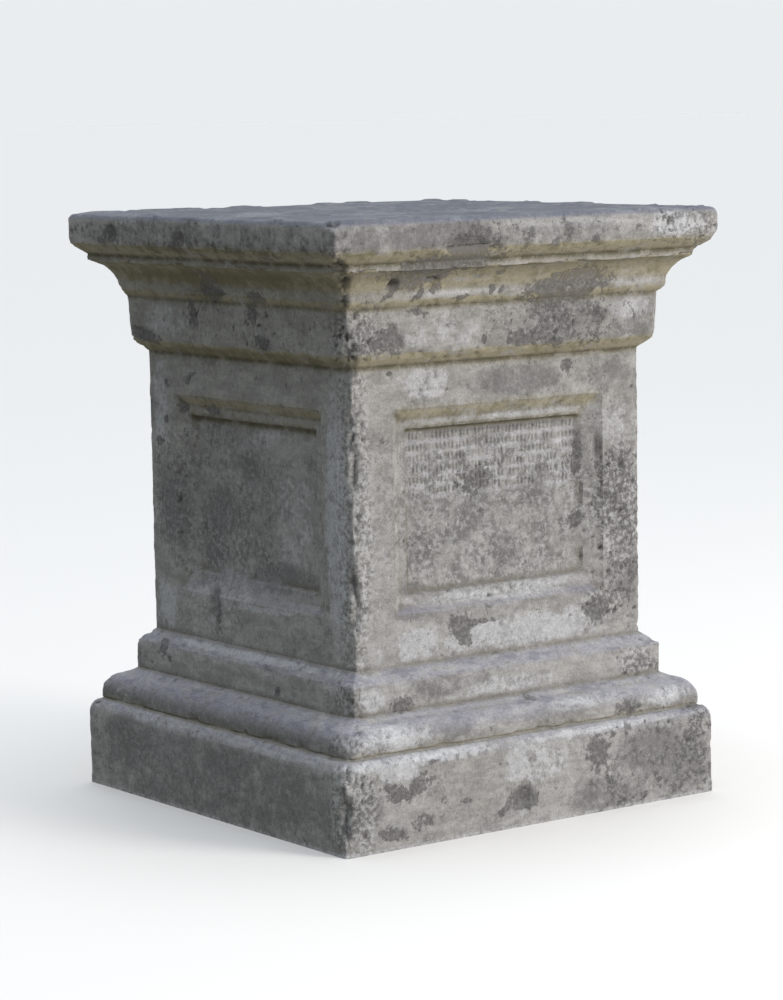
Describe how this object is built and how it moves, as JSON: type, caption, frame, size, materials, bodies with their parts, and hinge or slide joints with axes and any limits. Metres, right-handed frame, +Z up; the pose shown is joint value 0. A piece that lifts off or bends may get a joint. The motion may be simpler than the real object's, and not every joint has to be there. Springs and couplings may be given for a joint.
{
  "type": "garden pedestal",
  "caption": "Square weathered stone garden pedestal: a stepped plinth, a shaft with sunk framed panels and a moulded cap in one block, made to carry an urn, a sundial or a figure.",
  "frame": {"origin": "middle of the square underside, on the ground", "axes": "+Z up the pedestal's upright axis; -Y out of the front face, whose panel holds the rows of tool strokes; +X to the right seen from the front"},
  "size_m": [0.596, 0.596, 0.748],
  "materials": {
    "weathered_stone": "weathered pale grey stone, rough and pitted, with dark grey lichen in crisp blotches, grime on its ledges and ochre moss under the mouldings"
  },
  "bodies": {
    "root": {"pedestal": "weathered_stone"}
  },
  "joints": []
}
